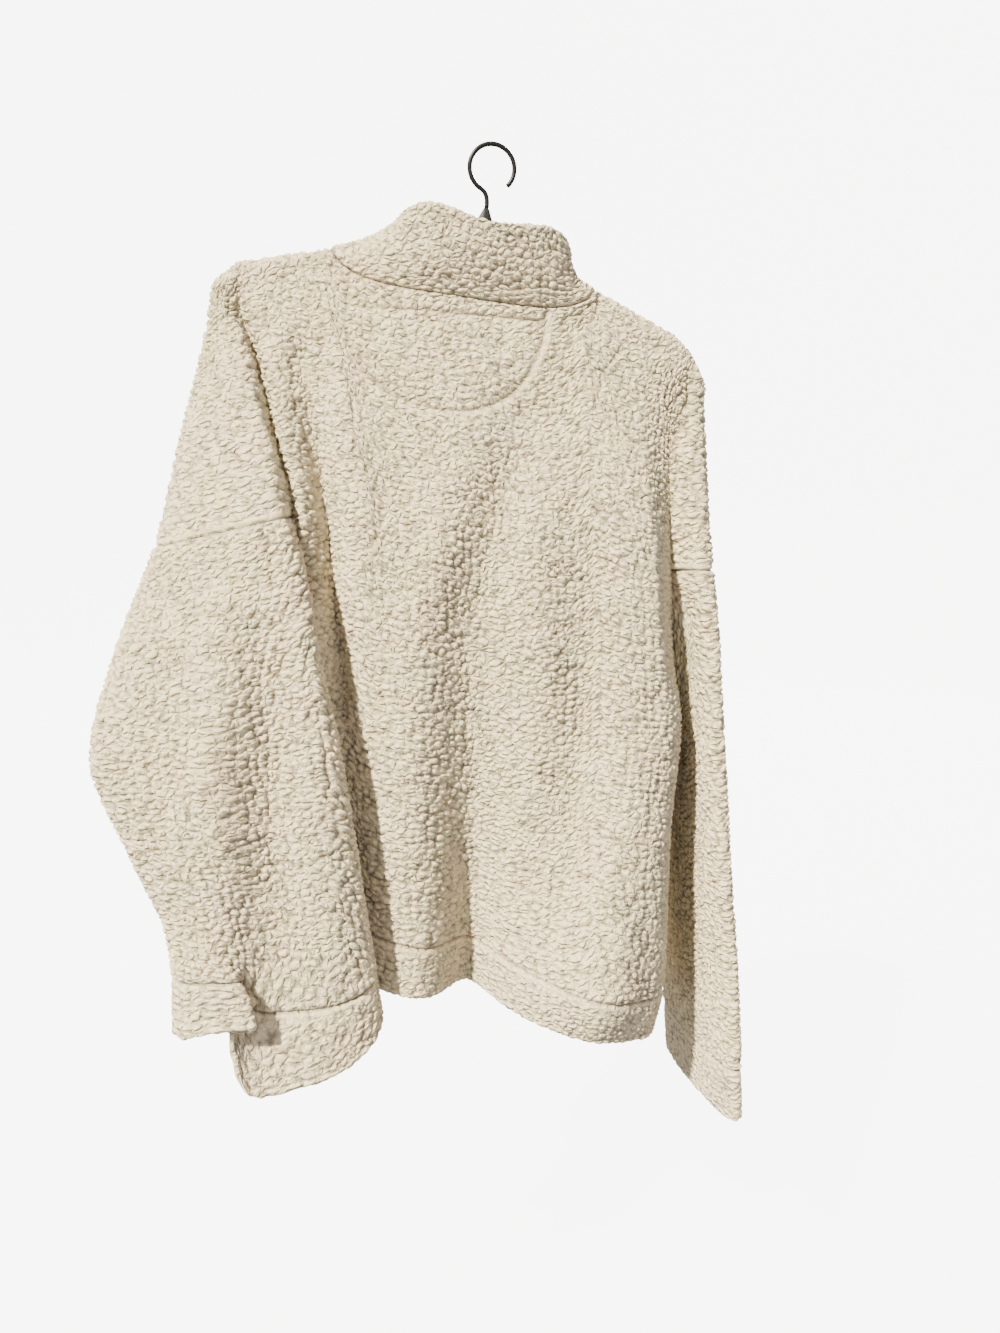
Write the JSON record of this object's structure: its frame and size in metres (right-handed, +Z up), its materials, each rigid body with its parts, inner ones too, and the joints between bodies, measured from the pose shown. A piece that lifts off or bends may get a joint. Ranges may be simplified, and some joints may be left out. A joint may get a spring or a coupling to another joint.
{
  "type": "sherpa fleece pullover on a hanger",
  "caption": "Cream sherpa fleece pullover with a funnel collar, half-moon back neck panel, drop shoulders and banded cuffs and hem, hanging rigid on a plain black hanger.",
  "frame": {"origin": "inner top of the hanger's hook, where it hangs on a rail", "axes": "+Z up, the wearer's back faces -Y, the wearer's right sleeve is at +X"},
  "size_m": [0.5789, 0.2692, 0.908],
  "materials": {
    "sherpa_fleece": "curly cream pile, matte",
    "black_plastic": "moulded, satin",
    "black_wire": "black coated wire"
  },
  "bodies": {
    "root": {"back_panel": "sherpa_fleece", "front_panel": "sherpa_fleece", "back_neck_half_moon": "sherpa_fleece", "back_neck_strip": "sherpa_fleece", "collar": "sherpa_fleece", "left_sleeve": "sherpa_fleece", "right_sleeve": "sherpa_fleece", "left_cuff": "sherpa_fleece", "right_cuff": "sherpa_fleece", "hem_band": "sherpa_fleece", "hanger": "black_plastic", "hanger_hook": "black_wire"}
  },
  "joints": []
}
